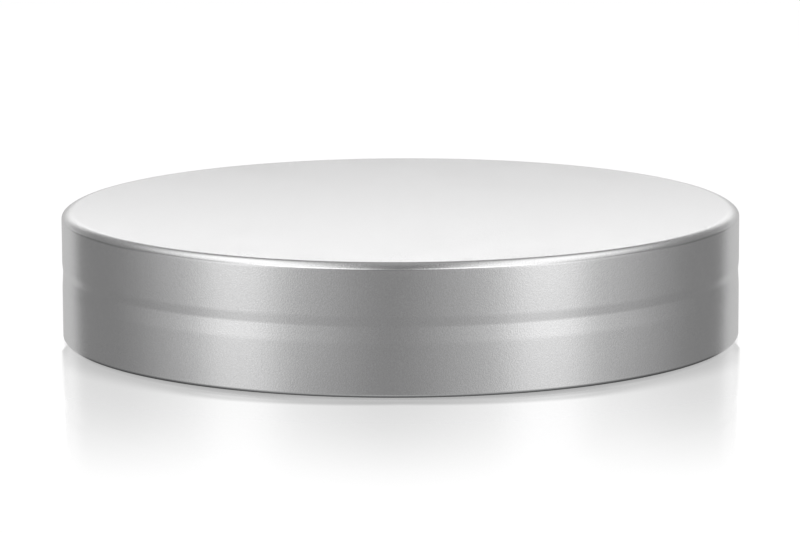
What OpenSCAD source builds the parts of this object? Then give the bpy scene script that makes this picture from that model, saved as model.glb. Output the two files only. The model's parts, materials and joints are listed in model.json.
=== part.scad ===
// Wide overshelled screw cap for a jar or bottle: a drawn aluminium shell,
// a moulded screw insert locked in it by a rolled groove, and a foam liner.
// Millimetres. The cap stands on its open edge, with Z up and the origin at
// the centre of the surface that it stands on.

/* [Cap] */
// Diameter over the skirt
cap_d = 93; // [80:0.5:110]
// Height from the standing edge to the top panel
cap_h = 17.5; // [16:0.25:26]

/* [Shell] */
// Thickness of the drawn sheet
sheet_t = 0.35; // [0.25:0.05:0.4]
// How far inside the skirt the corner's curve begins
corner_in = 1.7; // [1.3:0.1:2.4]
// How far below the top the corner meets the skirt
corner_drop = 0.75; // [0.6:0.05:1.2]
// Outside radius of the crease where the corner meets the skirt
crease_r = 0.5; // [0.15:0.05:0.6]
// Outside radius of the turned-in lower edge
edge_r = 0.5; // [0.45:0.05:0.8]
// Flat width of the turned-in lower edge
edge_flat = 0.15; // [0.1:0.05:0.2]

/* [Locking groove] */
// Height of the groove's deepest line
groove_z = 9.35; // [7:0.05:11]
// Depth of the groove
groove_d = 0.12; // [0.08:0.01:0.2]
// Height of the steeper flank above the deepest line
groove_rise = 1.15; // [0.9:0.05:1.6]
// Height of the flank below the deepest line
groove_fall = 2.2; // [1.6:0.05:3]
// Radius of the groove's floor
floor_r = 2; // [1:0.5:4]
// Radius of the shoulder above the groove
high_shoulder_r = 5; // [2:0.5:8]
// Radius of the shoulder below the groove
low_shoulder_r = 12; // [4:0.5:16]

/* [Insert] */
// Clearance between the insert and the shell
shell_gap = 0.05; // [0.02:0.01:0.15]
// Thickness of the insert's top panel
panel_t = 0.9; // [0.6:0.1:1.5]
// Thickness of the wall that carries the thread
wall_t = 1.3; // [1.2:0.05:1.8]
// Thickness of the plain wall at the mouth
mouth_wall_t = 0.75; // [0.6:0.05:0.85]
// Chamfer on the insert's standing rim
rim_chamfer = 0.2; // [0.1:0.05:0.3]

/* [Thread] */
// Rise of the thread in one turn
pitch = 5.08; // [3:0.01:6]
// Turns of the thread, with its run-outs
turns = 1.25; // [1:0.05:1.4]
// Height of the thread ridge over the wall
ridge_h = 1.2; // [0.8:0.1:1.5]
// Width of the ridge's crest
crest_w = 0.8; // [0.5:0.1:1.2]
// Slope of the ridge's flanks
flank_angle = 30; // [15:1:40]
// Length of each run-out, in degrees of turn
run_out = 24; // [12:2:40]
// Free height between the liner and the first ridge
ridge_clear = 2.2; // [2:0.1:3]
// Plain wall between the mouth's step and the last ridge
ridge_land = 0.6; // [0.3:0.1:1]

/* [Liner] */
// Thickness of the foam liner
liner_t = 1.0; // [0.6:0.1:1.5]
// Clearance round the liner's edge
liner_gap = 0.1; // [0.02:0.02:0.3]

/* [Hidden] */

// Segments of a full turn in the preview, and of each round stretch in a section
$fn = 180;
arc_steps = 8;

skirt_r = cap_d / 2;

// The corner's large curve is tangent to the top panel and passes through the crease
corner_r = (pow(corner_in, 2) + pow(corner_drop, 2)) / (2 * corner_drop);
corner_c = [skirt_r - corner_in, cap_h - corner_r];

// The crease curve is tangent to the skirt and, inside it, to the corner's large curve
crease_rise = sqrt(pow(corner_r - crease_r, 2) - pow(corner_in - crease_r, 2));
crease_c = [skirt_r - crease_r, corner_c.y + crease_rise];
crease_angle = atan2(crease_rise, corner_in - crease_r);

// The groove's two straight flanks run into the skirt and into each other with round stretches
low_angle = atan2(groove_d, groove_fall);
high_angle = atan2(groove_d, groove_rise);
low_c = [skirt_r - low_shoulder_r, groove_z - groove_fall - low_shoulder_r * tan(low_angle / 2)];
high_c = [skirt_r - high_shoulder_r, groove_z + groove_rise + high_shoulder_r * tan(high_angle / 2)];
floor_reach = floor_r * tan((low_angle + high_angle) / 2);
floor_c = [skirt_r - groove_d + floor_reach * sin(low_angle) + floor_r * cos(low_angle),
           groove_z - floor_reach * cos(low_angle) + floor_r * sin(low_angle)];

// The insert lies inside the shell by the sheet and the clearance
insert_in = sheet_t + shell_gap;
insert_r = skirt_r - insert_in;
rim_z = sheet_t + shell_gap;
panel_z = cap_h - insert_in - panel_t;
wall_r = insert_r - wall_t;
mouth_r = insert_r - mouth_wall_t;

liner_r = wall_r - liner_gap;
seal_z = panel_z - liner_t;

// The thread runs down from the liner, and the plain mouth takes what is left below it
ridge_bury = 0.3;
ridge_foot_w = crest_w + 2 * ridge_h * tan(flank_angle);
ridge_base_w = ridge_foot_w + 2 * ridge_bury * tan(flank_angle);
ridge_top_z = seal_z - ridge_clear - ridge_foot_w / 2;
ridge_low_z = ridge_top_z - turns * pitch;
step_top_z = ridge_low_z - ridge_foot_w / 2 - ridge_land;
step_low_z = step_top_z - (mouth_r - wall_r);
ridge_step = 5;
ridge_stations = ceil(turns * 360 / ridge_step);

// Points along a round stretch about c, from one angle to another
function arc(c, r, from, to) =
    [for (i = [0:arc_steps]) let (a = from + (to - from) * i / arc_steps) c + r * [cos(a), sin(a)]];

// The cap's outer section moved inwards by a distance, from below the groove to the top's edge.
// A section that lies deeper than the crease's radius has a sharp corner there.
function groove_section(in) =
    concat(
        arc(low_c, low_shoulder_r - in, 0, low_angle),
        arc(floor_c, floor_r + in, 180 + low_angle, 180 - high_angle),
        arc(high_c, high_shoulder_r - in, -high_angle, 0)
    );

function corner_section(in) =
    in < crease_r
    ? concat(arc(crease_c, crease_r - in, 0, crease_angle), arc(corner_c, corner_r - in, crease_angle, 90))
    : arc(corner_c, corner_r - in, acos((corner_in - in) / (corner_r - in)), 90);

function skin_section(in) = concat(groove_section(in), corner_section(in));

function reversed(points) = [for (i = [len(points) - 1:-1:0]) points[i]];

// Drops each point that lies on the one before it, where two stretches join
function joined(points) = [for (i = [0:len(points) - 1]) if (i == 0 || norm(points[i] - points[i - 1]) > 0.001) points[i]];

module shell() {
    edge_c = [skirt_r - edge_r, edge_r];
    edge_in_r = skirt_r - edge_r - edge_flat;
    outside = concat([[edge_in_r, 0]], arc(edge_c, edge_r, -90, 0), skin_section(0), [[0, cap_h]]);
    inside = concat([[edge_in_r, sheet_t]], arc(edge_c, edge_r - sheet_t, -90, 0), skin_section(sheet_t),
                    [[0, cap_h - sheet_t]]);
    color([0.77, 0.78, 0.79])
        rotate_extrude()
            polygon(joined(concat(outside, reversed(inside))));
}

module insert_body() {
    outside = concat(
        [[mouth_r + rim_chamfer, rim_z], [insert_r - rim_chamfer, rim_z], [insert_r, rim_z + rim_chamfer]],
        skin_section(insert_in),
        [[0, cap_h - insert_in]]
    );
    inside = [
        [0, panel_z],
        [wall_r, panel_z],
        [wall_r, step_top_z],
        [mouth_r, step_low_z],
        [mouth_r, rim_z + rim_chamfer]
    ];
    rotate_extrude()
        polygon(joined(concat(outside, inside)));
}

// The share of its full height that the ridge has at a station, which falls to nothing at both ends
function ridge_share(i) =
    let (turned = turns * 360 * i / ridge_stations)
    min(1, turned / run_out, (turns * 360 - turned) / run_out);

// The ridge's section at a station: two points in the wall and two at the crest
function ridge_section(i) =
    let (turned = turns * 360 * i / ridge_stations,
         z = ridge_low_z + pitch * turned / 360,
         share = ridge_share(i),
         base_r = wall_r + ridge_bury,
         crest_r = base_r - ridge_bury / 2 - (ridge_bury / 2 + ridge_h) * share)
    [for (p = [[base_r, -ridge_base_w / 2], [crest_r, -crest_w / 2], [crest_r, crest_w / 2], [base_r, ridge_base_w / 2]])
        [p.x * cos(turned), p.x * sin(turned), z + p.y]];

module thread_ridge() {
    sides = 4;
    points = [for (i = [0:ridge_stations]) each ridge_section(i)];
    last = sides * ridge_stations;
    faces = concat(
        [[for (k = [0:sides - 1]) k]],
        [for (i = [0:ridge_stations - 1], k = [0:sides - 1])
            let (a = sides * i + k, b = sides * i + (k + 1) % sides)
            each [[a, b + sides, b], [a, a + sides, b + sides]]],
        [[for (k = [sides - 1:-1:0]) last + k]]
    );
    polyhedron(points, faces);
}

module screw_insert() {
    color([0.95, 0.95, 0.94])
        union() {
            insert_body();
            thread_ridge();
        }
}

module liner() {
    color([0.98, 0.98, 0.97])
        translate([0, 0, seal_z])
            cylinder(h = liner_t, r = liner_r);
}

shell();
screw_insert();
liner();
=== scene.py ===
"""Looks of a wide satin aluminium screw cap that stands open side down on a pale glossy floor.

Lengths are in metres and angles in degrees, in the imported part's frame: Z is up, the cap's axis is
the Z axis, and the photograph's side is -Y. The shell, the screw insert and the foam liner are
turned again here from the same sizes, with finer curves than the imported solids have.
"""

import json
import math

import bmesh
import bpy
from mathutils import Matrix, Vector


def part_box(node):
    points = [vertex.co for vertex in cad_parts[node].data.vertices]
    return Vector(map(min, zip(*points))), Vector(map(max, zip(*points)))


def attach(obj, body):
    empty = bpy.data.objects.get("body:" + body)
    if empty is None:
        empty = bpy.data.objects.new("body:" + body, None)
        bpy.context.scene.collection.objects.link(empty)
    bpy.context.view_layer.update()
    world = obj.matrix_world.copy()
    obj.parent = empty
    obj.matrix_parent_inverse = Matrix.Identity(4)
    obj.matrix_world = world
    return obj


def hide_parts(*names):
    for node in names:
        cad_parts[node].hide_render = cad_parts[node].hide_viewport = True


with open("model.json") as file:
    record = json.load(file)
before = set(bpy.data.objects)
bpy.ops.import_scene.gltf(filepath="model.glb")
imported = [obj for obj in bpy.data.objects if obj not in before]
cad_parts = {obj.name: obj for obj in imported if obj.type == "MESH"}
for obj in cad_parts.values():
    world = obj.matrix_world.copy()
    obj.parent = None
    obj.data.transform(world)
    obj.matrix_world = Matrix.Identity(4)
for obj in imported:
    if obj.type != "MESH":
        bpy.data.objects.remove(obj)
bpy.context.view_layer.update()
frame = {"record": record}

MM = 0.001

# Sizes of the shell, all but the first two as in the part's source
SKIRT_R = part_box("shell")[1].x
CAP_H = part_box("shell")[1].z
SHEET_T = 0.35 * MM
CORNER_IN = 1.7 * MM
CORNER_DROP = 0.75 * MM
CREASE_R = 0.5 * MM
EDGE_R = 0.5 * MM
EDGE_FLAT = 0.15 * MM
GROOVE_Z = 9.35 * MM
GROOVE_D = 0.12 * MM
GROOVE_RISE = 1.15 * MM
GROOVE_FALL = 2.2 * MM
FLOOR_R = 2 * MM
HIGH_SHOULDER_R = 5 * MM
LOW_SHOULDER_R = 12 * MM

# Sizes of the screw insert and its thread, and the small rounds that only this model has
SHELL_GAP = 0.05 * MM
PANEL_T = 0.9 * MM
WALL_T = 1.3 * MM
MOUTH_WALL_T = 0.75 * MM
RIM_ROUND = 0.2 * MM
STEP_ROUND = 0.12 * MM
PITCH = 5.08 * MM
TURNS = 1.25
RIDGE_H = 1.2 * MM
CREST_W = 0.8 * MM
FLANK_SLOPE = math.tan(math.radians(30))
RIDGE_ROUND = 0.22 * MM
RUN_OUT = 24
RIDGE_CLEAR = 2.2 * MM
RIDGE_LAND = 0.6 * MM

# Sizes of the foam liner
LINER_T = 1.0 * MM
LINER_GAP = 0.1 * MM
LINER_ROUND = 0.22 * MM

# Radii and heights that follow from those sizes
INSERT_IN = SHEET_T + SHELL_GAP
INSERT_R = SKIRT_R - INSERT_IN
PANEL_Z = CAP_H - INSERT_IN - PANEL_T
WALL_R = INSERT_R - WALL_T
MOUTH_R = INSERT_R - MOUTH_WALL_T
LINER_R = WALL_R - LINER_GAP
SEAL_Z = PANEL_Z - LINER_T
RIDGE_FOOT_W = CREST_W + 2 * RIDGE_H * FLANK_SLOPE
RIDGE_TOP_Z = SEAL_Z - RIDGE_CLEAR - RIDGE_FOOT_W / 2
RIDGE_LOW_Z = RIDGE_TOP_Z - TURNS * PITCH
STEP_TOP_Z = RIDGE_LOW_Z - RIDGE_FOOT_W / 2 - RIDGE_LAND
STEP_LOW_Z = STEP_TOP_Z - (MOUTH_R - WALL_R)

# Steps of the turned meshes, the angle that counts as sharp, and how close points count as one
TURN_STEPS = 384
CURVE_STEPS = 14
SMALL_CURVE_STEPS = 6
THREAD_STEP = 0.1 * MM
SHARP_ANGLE = 35
SAME_POINT = 0.001 * MM

# The stage's whites, and how strongly the floor scatters, glows and mirrors
WHITE = (1, 1, 1, 1)
STUDIO_WHITE = (1, 0.993, 0.991, 1)
FLOOR_SCATTER = 0.16
FLOOR_GLOW = 0.815
FLOOR_GLOSS = 0.36

# How far in front of the cap's axis the sides of its mirror image run together
SIDES_MEET = 0.653

# Tall side panels: azimuth, light of the middle and of the edge, reach to the front and the back
SIDE_PANELS = ((-55.8, 0.27, 0.345, 59, 59), (49.8, 0.29, 0.375, 60, 70))


# Sections and turned meshes


def arc(centre, radius, start, end, steps=CURVE_STEPS):
    """Points (r, z) along a round stretch about centre, from one angle to another."""
    points = []
    for i in range(steps + 1):
        a = math.radians(start + (end - start) * i / steps)
        points.append((centre[0] + radius * math.cos(a), centre[1] + radius * math.sin(a)))
    return points


def corner_curves():
    """Centre and radius of the corner's large curve, the crease's centre, and where they meet."""
    large_r = (CORNER_IN**2 + CORNER_DROP**2) / (2 * CORNER_DROP)
    large_c = (SKIRT_R - CORNER_IN, CAP_H - large_r)
    rise = math.sqrt((large_r - CREASE_R) ** 2 - (CORNER_IN - CREASE_R) ** 2)
    crease_c = (SKIRT_R - CREASE_R, large_c[1] + rise)
    meet = math.degrees(math.atan2(rise, CORNER_IN - CREASE_R))
    return large_c, large_r, crease_c, meet


def skin(depth):
    """The cap's outer section from below the groove to the top panel's edge, moved inwards.

    depth says how far it is moved, and is less than the crease's radius.
    """
    low = math.atan2(GROOVE_D, GROOVE_FALL)
    high = math.atan2(GROOVE_D, GROOVE_RISE)
    low_z = GROOVE_Z - GROOVE_FALL - LOW_SHOULDER_R * math.tan(low / 2)
    high_z = GROOVE_Z + GROOVE_RISE + HIGH_SHOULDER_R * math.tan(high / 2)
    reach = FLOOR_R * math.tan((low + high) / 2)
    floor_c = (
        SKIRT_R - GROOVE_D + reach * math.sin(low) + FLOOR_R * math.cos(low),
        GROOVE_Z - reach * math.cos(low) + FLOOR_R * math.sin(low),
    )
    low, high = math.degrees(low), math.degrees(high)
    points = arc((SKIRT_R - LOW_SHOULDER_R, low_z), LOW_SHOULDER_R - depth, 0, low)
    points += arc(floor_c, FLOOR_R + depth, 180 + low, 180 - high)
    points += arc((SKIRT_R - HIGH_SHOULDER_R, high_z), HIGH_SHOULDER_R - depth, -high, 0)
    large_c, large_r, crease_c, meet = corner_curves()
    points += arc(crease_c, CREASE_R - depth, 0, meet)
    points += arc(large_c, large_r - depth, meet, 90)
    return points


def joined(points):
    """The points without those that lie on the one before."""
    kept = [points[0]]
    for p in points[1:]:
        if math.dist(p, kept[-1]) > SAME_POINT:
            kept.append(p)
    return kept


def added(name, data):
    """A new object in the scene."""
    piece = bpy.data.objects.new(name, data)
    bpy.context.scene.collection.objects.link(piece)
    return piece


def turned(name, section, relief=None):
    """A closed mesh turned about the Z axis from a section whose last point joins its first.

    relief gives how far a point of the section stands inwards at each angle of the turn.
    """
    mesh = bmesh.new()
    rings = []
    for r, z in section:
        if r < SAME_POINT:
            rings.append([mesh.verts.new((0, 0, z))])
            continue
        ring = []
        for i in range(TURN_STEPS):
            a = 2 * math.pi * i / TURN_STEPS
            reach = r - relief(r, z, a) if relief else r
            ring.append(mesh.verts.new((reach * math.cos(a), reach * math.sin(a), z)))
        rings.append(ring)
    for low, high in zip(rings, rings[1:] + rings[:1]):
        for i in range(TURN_STEPS):
            j = (i + 1) % TURN_STEPS
            corners = [low[i % len(low)], low[j % len(low)], high[j % len(high)], high[i % len(high)]]
            corners = list(dict.fromkeys(corners))
            if len(corners) > 2:
                mesh.faces.new(corners)
    bmesh.ops.recalc_face_normals(mesh, faces=mesh.faces)
    data = bpy.data.meshes.new(name)
    mesh.to_mesh(data)
    mesh.free()
    data.shade_smooth()
    data.set_sharp_from_angle(angle=math.radians(SHARP_ANGLE))
    return added(name, data)


def shell():
    """The drawn aluminium shell, with its corner, its rolled groove and its turned-in lower edge."""
    edge_c = (SKIRT_R - EDGE_R, EDGE_R)
    edge_in_r = SKIRT_R - EDGE_R - EDGE_FLAT
    outside = [(edge_in_r, 0)] + arc(edge_c, EDGE_R, -90, 0) + skin(0) + [(0, CAP_H)]
    inside = [(edge_in_r, SHEET_T)] + arc(edge_c, EDGE_R - SHEET_T, -90, 0) + skin(SHEET_T)
    inside += [(0, CAP_H - SHEET_T)]
    piece = turned("aluminium_shell", joined(outside) + joined(inside)[::-1])
    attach(piece, "root")
    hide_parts("shell")
    return piece


def soft_over(value, room):
    """value where it is above nothing, and nothing below that, with a round change over room."""
    if value <= -room:
        return 0.0
    if value >= room:
        return value
    return (value + room) ** 2 / (4 * room)


def thread_relief(r, z, angle):
    """How far the thread stands in from the insert's wall, with a round crest and a round root."""
    if abs(r - WALL_R) > SAME_POINT:
        return 0.0
    relief = 0.0
    for turned_by in (math.degrees(angle), math.degrees(angle) + 360):
        left = TURNS * 360 - turned_by
        if left <= 0:
            continue
        share = min(1.0, turned_by / RUN_OUT, left / RUN_OUT)
        share = share * share * (3 - 2 * share)
        off = abs(z - RIDGE_LOW_Z - PITCH * turned_by / 360)
        flank = share * (RIDGE_FOOT_W / 2 - off) / FLANK_SLOPE
        crest = share * RIDGE_H
        height = crest - soft_over(crest - flank, RIDGE_ROUND)
        relief = max(relief, soft_over(height, RIDGE_ROUND * share) if share > 0 else 0.0)
    return relief


def screw_insert():
    """The moulded insert, with its rounded rim, its plain mouth and its right-hand thread."""
    rim_z = INSERT_IN + RIM_ROUND
    outside = arc((MOUTH_R + RIM_ROUND, rim_z), RIM_ROUND, 180, 270, SMALL_CURVE_STEPS)
    outside += arc((INSERT_R - RIM_ROUND, rim_z), RIM_ROUND, 270, 360, SMALL_CURVE_STEPS)
    outside += skin(INSERT_IN) + [(0, CAP_H - INSERT_IN)]
    low = STEP_TOP_Z + STEP_ROUND
    rows = round((PANEL_Z - low) / THREAD_STEP)
    wall = [(WALL_R, PANEL_Z - (PANEL_Z - low) * i / rows) for i in range(rows + 1)]
    cut = STEP_ROUND * math.sin(math.radians(45))
    step = [
        (WALL_R + cut, STEP_TOP_Z - cut),
        (MOUTH_R - cut, STEP_LOW_Z + cut),
        (MOUTH_R, STEP_LOW_Z - STEP_ROUND),
    ]
    section = joined(outside + [(0, PANEL_Z)] + wall + step)
    piece = turned("screw_insert_moulding", section, thread_relief)
    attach(piece, "root")
    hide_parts("screw_insert")
    return piece


def liner():
    """The punched foam disc, with edges that the punch has rounded."""
    edge_r = LINER_R - LINER_ROUND
    middle_r = LINER_R / 2
    section = [(0, SEAL_Z), (middle_r, SEAL_Z)]
    section += arc((edge_r, SEAL_Z + LINER_ROUND), LINER_ROUND, -90, 0, SMALL_CURVE_STEPS)
    section += arc((edge_r, PANEL_Z - LINER_ROUND), LINER_ROUND, 0, 90, SMALL_CURVE_STEPS)
    section += [(middle_r, PANEL_Z), (0, PANEL_Z)]
    piece = turned("foam_liner", section)
    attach(piece, "root")
    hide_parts("liner")
    return piece


# Materials


def record_colour(slot):
    """The record's base colour of a material slot."""
    return next(m["base_color"] for m in frame["record"]["materials"] if m["slot"] == slot)


class Nodes:
    """A short way to add and link a material's or a world's nodes."""

    def __init__(self, owner):
        owner.use_nodes = True
        self.tree = owner.node_tree
        self.tree.nodes.clear()

    def add(self, kind, inputs=None, **settings):
        """A new node, whose inputs are values or the outputs of other nodes."""
        node = self.tree.nodes.new(kind)
        for key, value in settings.items():
            setattr(node, key, value)
        for key, value in (inputs or {}).items():
            if isinstance(value, bpy.types.NodeSocket):
                self.tree.links.new(value, node.inputs[key])
            else:
                node.inputs[key].default_value = value
        return node

    def show(self, shader, output="ShaderNodeOutputMaterial"):
        """Makes the shader what the material or the world shows."""
        self.add(output, {"Surface": shader})

    def place(self):
        """The point's place in the object's own frame."""
        return self.add("ShaderNodeTexCoord").outputs["Object"]

    def xyz(self, vector):
        """The vector's X, Y and Z."""
        return self.add("ShaderNodeSeparateXYZ", {0: vector}).outputs

    def distance(self, place, centre=(0, 0, 0)):
        """How far place is from centre."""
        node = self.add("ShaderNodeVectorMath", {0: place, 1: centre}, operation="DISTANCE")
        return node.outputs["Value"]

    def math(self, operation, a, b=0.0, c=0.0):
        """The result of one operation on up to three values."""
        return self.add("ShaderNodeMath", {0: a, 1: b, 2: c}, operation=operation).outputs[0]

    def times(self, value, *others):
        """The product of the values."""
        for other in others:
            value = self.math("MULTIPLY", value, other)
        return value

    def plus(self, value, *others):
        """The sum of the values."""
        for other in others:
            value = self.math("ADD", value, other)
        return value

    def rest(self, value):
        """What the value leaves of one."""
        return self.math("SUBTRACT", 1.0, value)

    def ramp(self, value, start, end, low, high, change="LINEAR"):
        """low where value is at start, high where it is at end, and an even change between them."""
        inputs = {"Value": value, "From Min": start, "From Max": end, "To Min": low, "To Max": high}
        node = self.add("ShaderNodeMapRange", inputs, interpolation_type=change)
        return node.outputs["Result"]

    def smooth_step(self, value, start, end, low=0.0, high=1.0):
        """low where value is at start, high where it is at end, and a smooth change between them."""
        return self.ramp(value, start, end, low, high, "SMOOTHSTEP")

    def noise(self, place, scale, detail, roughness=0.5, distortion=0.0):
        """A noise about a half."""
        inputs = {"Vector": place, "Scale": scale, "Detail": detail}
        inputs.update({"Roughness": roughness, "Distortion": distortion})
        return self.add("ShaderNodeTexNoise", inputs).outputs["Fac"]

    def tinted(self, colour, value, spread):
        """A colour that a value about a half makes a little darker or lighter."""
        shade = self.ramp(value, 0.25, 0.75, 1 - spread, 1 + spread)
        node = self.add("ShaderNodeVectorMath", {0: colour, 1: shade}, operation="MULTIPLY")
        return node.outputs["Vector"]

    def glow(self, strength, colour=WHITE):
        """A shader that gives light."""
        return self.add("ShaderNodeEmission", {"Color": colour, "Strength": strength}).outputs[0]

    def nothing(self):
        """A shader that lets everything through."""
        return self.add("ShaderNodeBsdfTransparent").outputs[0]

    def both(self, first, second):
        """Two shaders added."""
        return self.add("ShaderNodeAddShader", {0: first, 1: second}).outputs[0]

    def mix(self, share, first, second):
        """The first shader where share is nothing, and the second where it is one."""
        return self.add("ShaderNodeMixShader", {0: share, 1: first, 2: second}).outputs[0]

    def from_below(self):
        """One where an upward face is seen from below, and nothing elsewhere."""
        return self.add("ShaderNodeNewGeometry").outputs["Backfacing"]


def satin_aluminium():
    """Lacquered satin aluminium: a very fine even grain and faint clouds in its sheen."""
    material = bpy.data.materials.new("satin_aluminium")
    n = Nodes(material)
    place = n.place()
    grain = n.noise(place, scale=5600, detail=2.0, roughness=0.6)
    clouds = n.noise(place, scale=95, detail=3.0, roughness=0.55)
    bump = n.add("ShaderNodeBump", {"Strength": 0.35, "Distance": 0.00004, "Height": grain})
    speck = n.plus(grain, n.times(n.math("SUBTRACT", clouds, 0.5), 0.3))
    shader = n.add(
        "ShaderNodeBsdfPrincipled",
        {
            "Base Color": n.tinted(record_colour("shell_metal"), speck, 0.07),
            "Metallic": 1.0,
            "Roughness": n.ramp(clouds, 0.3, 0.7, 0.17, 0.21),
            "Normal": bump.outputs["Normal"],
        },
    )
    n.show(shader.outputs["BSDF"])
    return material


def moulded_plastic():
    """White polypropylene as it comes from the mould: finely eroded, waxy, with faint flow marks."""
    material = bpy.data.materials.new("moulded_polypropylene")
    n = Nodes(material)
    place = n.place()
    grain = n.noise(place, scale=3600, detail=3.0, roughness=0.6)
    flow = n.noise(place, scale=60, detail=2.0, distortion=1.2)
    bump = n.add("ShaderNodeBump", {"Strength": 0.25, "Distance": 0.00002, "Height": grain})
    shader = n.add(
        "ShaderNodeBsdfPrincipled",
        {
            "Base Color": n.tinted(record_colour("insert_plastic"), flow, 0.01),
            "Roughness": n.ramp(flow, 0.3, 0.7, 0.36, 0.46),
            "Subsurface Weight": 0.1,
            "Subsurface Scale": 0.0003,
            "Normal": bump.outputs["Normal"],
        },
    )
    n.show(shader.outputs["BSDF"])
    return material


def closed_cell_foam():
    """White polyethylene foam sheet: dull, with small closed cells that show through its skin."""
    material = bpy.data.materials.new("closed_cell_foam")
    n = Nodes(material)
    place = n.place()
    node = n.add("ShaderNodeTexVoronoi", {"Vector": place, "Scale": 1900}, feature="SMOOTH_F1")
    cells = node.outputs["Distance"]
    drift = n.noise(place, scale=140, detail=3.0)
    pits = n.add("ShaderNodeBump", {"Strength": 0.45, "Distance": 0.00006, "Height": cells})
    waves = n.add(
        "ShaderNodeBump",
        {"Strength": 0.3, "Distance": 0.00025, "Height": drift, "Normal": pits.outputs["Normal"]},
    )
    shader = n.add(
        "ShaderNodeBsdfPrincipled",
        {
            "Base Color": n.tinted(record_colour("liner_foam"), cells, 0.02),
            "Roughness": 0.72,
            "Subsurface Weight": 0.2,
            "Subsurface Scale": 0.0008,
            "Normal": waves.outputs["Normal"],
        },
    )
    n.show(shader.outputs["BSDF"])
    return material


def dress(piece, material):
    """Gives the piece one material."""
    piece.data.materials.clear()
    piece.data.materials.append(material)


# Stage: floor, surroundings, lights and camera


def floor_shade(n, place, gloss):
    """How bright the floor is at each place: one, but less in the painted shades in front of the cap,
    and a little more where painted light makes up for the grey room that the gloss mirrors.
    """
    distance = n.distance(place)
    xyz = n.xyz(place)
    aside = n.math("ABSOLUTE", xyz["X"])
    in_front = n.smooth_step(xyz["Y"], -0.007, -0.014)
    in_front_softly = n.smooth_step(xyz["Y"], -0.002, -0.024)

    # The mirror image's sides lie where spread is 0.0466 to 0.0470
    spread = n.math("DIVIDE", aside, n.math("MULTIPLY_ADD", xyz["Y"], 1 / SIDES_MEET, 1.0))
    spread = n.plus(spread, n.smooth_step(xyz["Y"], -0.0135, -0.009, 0, 0.0005))
    below_cap = n.smooth_step(spread, 0.0470, 0.0466)
    below_cap_softly = n.smooth_step(aside, 0.050, 0.042)

    # A short soft painted shadow follows the cap's front, inside two circles that lie side by side
    left, right = (n.distance(place, (0.0045 * side, -0.0043, 0)) for side in (-1, 1))
    inner = n.smooth_step(aside, 0.022, 0.038, 0.0452, 0.0405)
    depth = n.smooth_step(n.math("MINIMUM", left, right), 0.0474, inner)
    depth = n.times(depth, n.smooth_step(aside, 0.014, 0.046, 0.36, 0.26), below_cap)

    # A wider and fainter painted shade lies round it
    wide = n.times(n.smooth_step(distance, 0.11, 0.05, 0, 0.09), below_cap_softly)

    # A narrow painted dark band ends the short shade to the left and to the right of its middle
    strip = n.times(n.smooth_step(distance, 0.0474, 0.0483), n.smooth_step(distance, 0.05, 0.0488))
    painted_shade_band = n.times(
        strip,
        n.smooth_step(aside, 0.01, 0.019, 0, 0.27),
        n.smooth_step(aside, 0.031, 0.023),
    )
    shade = n.times(n.rest(depth), n.rest(wide), n.rest(painted_shade_band))
    shade = n.plus(n.times(shade, in_front), n.rest(in_front))

    # Each side of the mirror image has a crisp painted darker edge, which fades away from the cap
    far = n.smooth_step(xyz["Y"], -0.058, -0.024, 0, 0.1)
    near = n.smooth_step(xyz["Y"], -0.019, -0.0125, 0, 0.17)
    edge = n.times(
        n.smooth_step(spread, 0.0455, 0.0467),
        below_cap,
        n.plus(far, near),
        n.smooth_step(xyz["Y"], -0.007, -0.0105),
    )
    shade = n.times(shade, n.rest(edge))

    # Where the gloss mirrors the grey room, the white below it is painted lighter, less so in front
    # of the cap
    painted_lift = n.smooth_step(n.times(below_cap_softly, in_front_softly), 0, 1, 0.62, 0.29)
    return n.times(shade, n.plus(n.times(gloss, painted_lift), 1.0))


def floor_material():
    """White acrylic that glows and mirrors. Its gloss fades away from the cap."""
    material = bpy.data.materials.new("white_floor")
    n = Nodes(material)
    place = n.place()
    gloss = n.smooth_step(n.distance(place), 0.05, 0.115, FLOOR_GLOSS, 0.0)
    shade = floor_shade(n, place, gloss)
    # The painted shades and the painted light set the floor's scatter and its glow alike
    tone = n.times(shade, FLOOR_SCATTER)
    grey = n.add("ShaderNodeCombineColor", {i: tone for i in range(3)}).outputs[0]
    matt = n.add("ShaderNodeBsdfDiffuse", {"Color": grey}).outputs[0]
    body = n.both(matt, n.glow(n.times(shade, FLOOR_GLOW)))
    shine = n.add("ShaderNodeBsdfGlossy", {"Color": WHITE, "Roughness": 0.03}).outputs[0]

    # From below, the floor isn't there, so that the cap's inside can be looked at
    n.show(n.mix(n.from_below(), n.mix(gloss, body, shine), n.nothing()))
    return material


def flat_piece(name, corners, faces):
    """A new mesh object with these corners and faces."""
    data = bpy.data.meshes.new(name)
    data.from_pydata(corners, [], faces)
    return added(name, data)


def flat_ring(inner, outer, height, steps=192):
    """The corners and faces of a flat ring that faces up."""
    corners = []
    for r in (inner, outer):
        for i in range(steps):
            a = 2 * math.pi * i / steps
            corners.append((r * math.cos(a), r * math.sin(a), height))
    faces = [(i, i + steps, (i + 1) % steps + steps, (i + 1) % steps) for i in range(steps)]
    return corners, faces


def floor():
    """The floor, left open under the cap, so that its glow doesn't fill the cap's inside."""
    piece = flat_piece("floor", *flat_ring(inner=0.0448, outer=6, height=0))
    dress(piece, floor_material())
    piece.visible_glossy = False
    piece.visible_shadow = False


def seen_in_metal(name, corners, faces):
    """A flat stage piece that only reflections show."""
    piece = flat_piece(name, corners, faces)
    for kind in ("camera", "diffuse", "transmission", "volume_scatter", "shadow"):
        setattr(piece, "visible_" + kind, False)
    return piece


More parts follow.
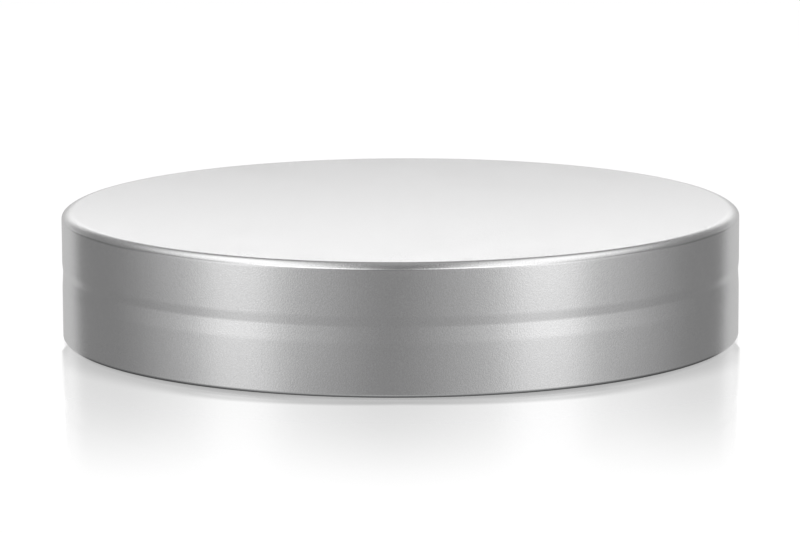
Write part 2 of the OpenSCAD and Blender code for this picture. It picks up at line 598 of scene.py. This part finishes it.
def contact_shade():
    """A painted contact shadow that only reflections show: the narrow dark strip of floor that the
    cap's rolled edge mirrors, darkest at the cap.
    """
    piece = seen_in_metal("contact_shade", *flat_ring(inner=0.0445, outer=0.0476, height=0.00002))
    material = bpy.data.materials.new("contact_shade")
    n = Nodes(material)
    place = n.place()
    distance = n.distance(place)
    xyz = n.xyz(place)
    far = n.smooth_step(n.math("ABSOLUTE", xyz["X"]), 0.014, 0.034, 0.50, 0.19)
    light = n.glow(n.smooth_step(distance, 0.0461, 0.0471, 0.05, far))
    in_front = n.smooth_step(xyz["Y"], -0.014, -0.022)
    strip = n.times(n.smooth_step(distance, 0.0475, 0.0468), in_front)
    through = n.math("MAXIMUM", n.from_below(), n.rest(strip))
    n.show(n.mix(through, light, n.nothing()))
    dress(piece, material)


def glow_card():
    """An upright card behind the cap, whose light grows with height up to its soft top edge."""
    side, back, top = 0.2, 0.3, 0.14
    corners = [(-side, back, 0), (side, back, 0), (side, back, top), (-side, back, top)]
    piece = seen_in_metal("glow_card", corners, [(0, 1, 2, 3)])
    material = bpy.data.materials.new("glow")
    n = Nodes(material)
    xyz = n.xyz(n.place())
    climb = n.times(
        n.math("MAXIMUM", n.math("SUBTRACT", xyz["Z"], 0.044), 0.0),
        19.3,
        n.smooth_step(xyz["Z"], 0.138, 0.118),
        n.smooth_step(n.math("ABSOLUTE", xyz["X"]), 0.17, 0.075),
    )
    n.show(n.both(n.glow(climb, STUDIO_WHITE), n.nothing()))
    dress(piece, material)


def studio_light(n):
    """How bright the studio is in each direction.

    around and across are degrees from the front, and height is degrees over the horizon. aside and
    back are lengths on a flat ceiling of height one.
    """
    xyz = n.xyz(n.add("ShaderNodeTexCoord").outputs["Generated"])
    to_degrees = 180 / math.pi
    across = n.times(n.math("ARCTAN2", xyz["X"], n.times(xyz["Y"], -1.0)), to_degrees)
    around = n.math("ABSOLUTE", across)
    height = n.times(n.math("ARCSINE", xyz["Z"]), to_degrees)
    up = n.math("MAXIMUM", xyz["Z"], 0.05)
    side = n.math("DIVIDE", xyz["X"], up)
    aside = n.math("ABSOLUTE", side)
    back = n.math("DIVIDE", xyz["Y"], up)

    # The room, the table below it and the ceiling
    room = n.smooth_step(height, -4, 12, 0.243, 0.175)
    table = n.times(n.smooth_step(height, -24, -42), n.smooth_step(around, 60, 100, 0.12, -0.06))
    ceiling = n.times(
        n.smooth_step(back, -0.2, 1.0, 0, 0.18),
        n.smooth_step(height, 21, 34),
        n.smooth_step(aside, 0.8, 0.3, 0.5, 1.0),
    )
    light = n.plus(room, table, ceiling)

    # The tall soft panel each side, with a bright middle and a wide soft edge
    rise = n.plus(n.smooth_step(height, -32, -8, 0.66, 0.96), n.smooth_step(height, -11, -2, 0, 0.48))
    ends = n.times(n.smooth_step(height, 72, 50), n.smooth_step(height, -50, -30))
    rise = n.times(rise, ends)
    for azimuth, middle, edge, inner, outer in SIDE_PANELS:
        off = n.math("SUBTRACT", across, azimuth)
        left, right = (outer, inner) if azimuth < 0 else (inner, outer)
        wide = n.plus(n.smooth_step(off, 0, right, edge, 0), n.smooth_step(off, -left, 0, 0, edge))
        wide = n.math("SUBTRACT", wide, edge)
        panel = n.plus(n.smooth_step(n.math("ABSOLUTE", off), 20, 6, 0, middle), wide)
        light = n.plus(light, n.times(panel, rise))

    # The wide panel overhead at each side, with its far outer corners cut
    corner = n.plus(aside, n.times(back, 0.5))
    overhead = n.times(
        n.smooth_step(side, -1.0, -0.45),
        n.smooth_step(side, 1.05, 0.33),
        n.smooth_step(aside, 0.08, 0.27),
        n.times(n.smooth_step(back, 1.5, 0.75), n.smooth_step(back, -1.3, -0.8)),
        n.smooth_step(corner, 1.5, 0.6),
        1.1,
    )

    # A fainter panel high up at each side
    upper = n.times(
        n.smooth_step(around, 60, 74),
        n.smooth_step(around, 108, 90),
        n.times(n.smooth_step(height, 12, 24), n.smooth_step(height, 55, 40)),
        0.15,
    )

    # The backdrop, between its lower edge and its top edge
    backdrop = n.times(
        n.smooth_step(around, 138, 146, 0, 0.35),
        n.smooth_step(height, -30, -16),
        n.smooth_step(height, 17, 11),
    )

    # A pale stretch above the backdrop, which the corner shows at the cap's far left and right
    pale = n.times(
        n.smooth_step(around, 134, 150),
        n.smooth_step(around, 176, 165),
        n.times(n.smooth_step(height, 4, 14), n.smooth_step(height, 30, 16)),
        0.23,
    )
    return n.plus(light, overhead, upper, backdrop, pale)


def surroundings():
    """The studio that lights the cap and shows in its metal. The camera sees plain white."""
    world = bpy.data.worlds.new("studio")
    bpy.context.scene.world = world
    n = Nodes(world)
    seen = n.add("ShaderNodeLightPath").outputs["Is Camera Ray"]
    lit = n.add("ShaderNodeBackground", {"Color": STUDIO_WHITE, "Strength": studio_light(n)})
    shown = n.add("ShaderNodeBackground", {"Color": WHITE, "Strength": 0.99})
    n.show(n.mix(seen, lit.outputs[0], shown.outputs[0]), "ShaderNodeOutputWorld")


def soft_light(name, place, target, width, power):
    """A square soft light that faces target and isn't mirrored in the metal."""
    data = bpy.data.lights.new(name, "AREA")
    data.size = width
    data.energy = power
    lamp = added(name, data)
    lamp.location = place
    lamp.rotation_euler = (Vector(target) - Vector(place)).to_track_quat("-Z", "Y").to_euler()
    lamp.visible_camera = False
    lamp.visible_glossy = False


def camera():
    """The photograph's view: from in front and a little above, through a long lens."""
    distance = 632.4 * MM
    aside = -0.08 * MM
    height = 118.6 * MM
    pitch = 9.82
    roll = -0.242
    data = bpy.data.cameras.new("camera")
    data.sensor_width = 36
    data.lens = 209.57
    data.clip_start = 0.05
    data.clip_end = 50
    seen_from = added("camera", data)
    tilt = Matrix.Rotation(math.radians(90 - pitch), 4, "X")
    turn = tilt @ Matrix.Rotation(math.radians(roll), 4, "Z")
    seen_from.matrix_world = Matrix.Translation((aside, -distance, height)) @ turn
    bpy.context.scene.camera = seen_from


dress(shell(), satin_aluminium())
dress(screw_insert(), moulded_plastic())
dress(liner(), closed_cell_foam())
floor()
contact_shade()
glow_card()
surroundings()
soft_light("front_light", place=(0, -1.1, 1.5), target=(0, 0, 0), width=1.2, power=30)
soft_light("under_light", place=(-0.3, -0.2, -0.5), target=(0, 0, 0.01), width=0.12, power=2.2)
camera()
bpy.context.scene.view_settings.view_transform = "Standard"
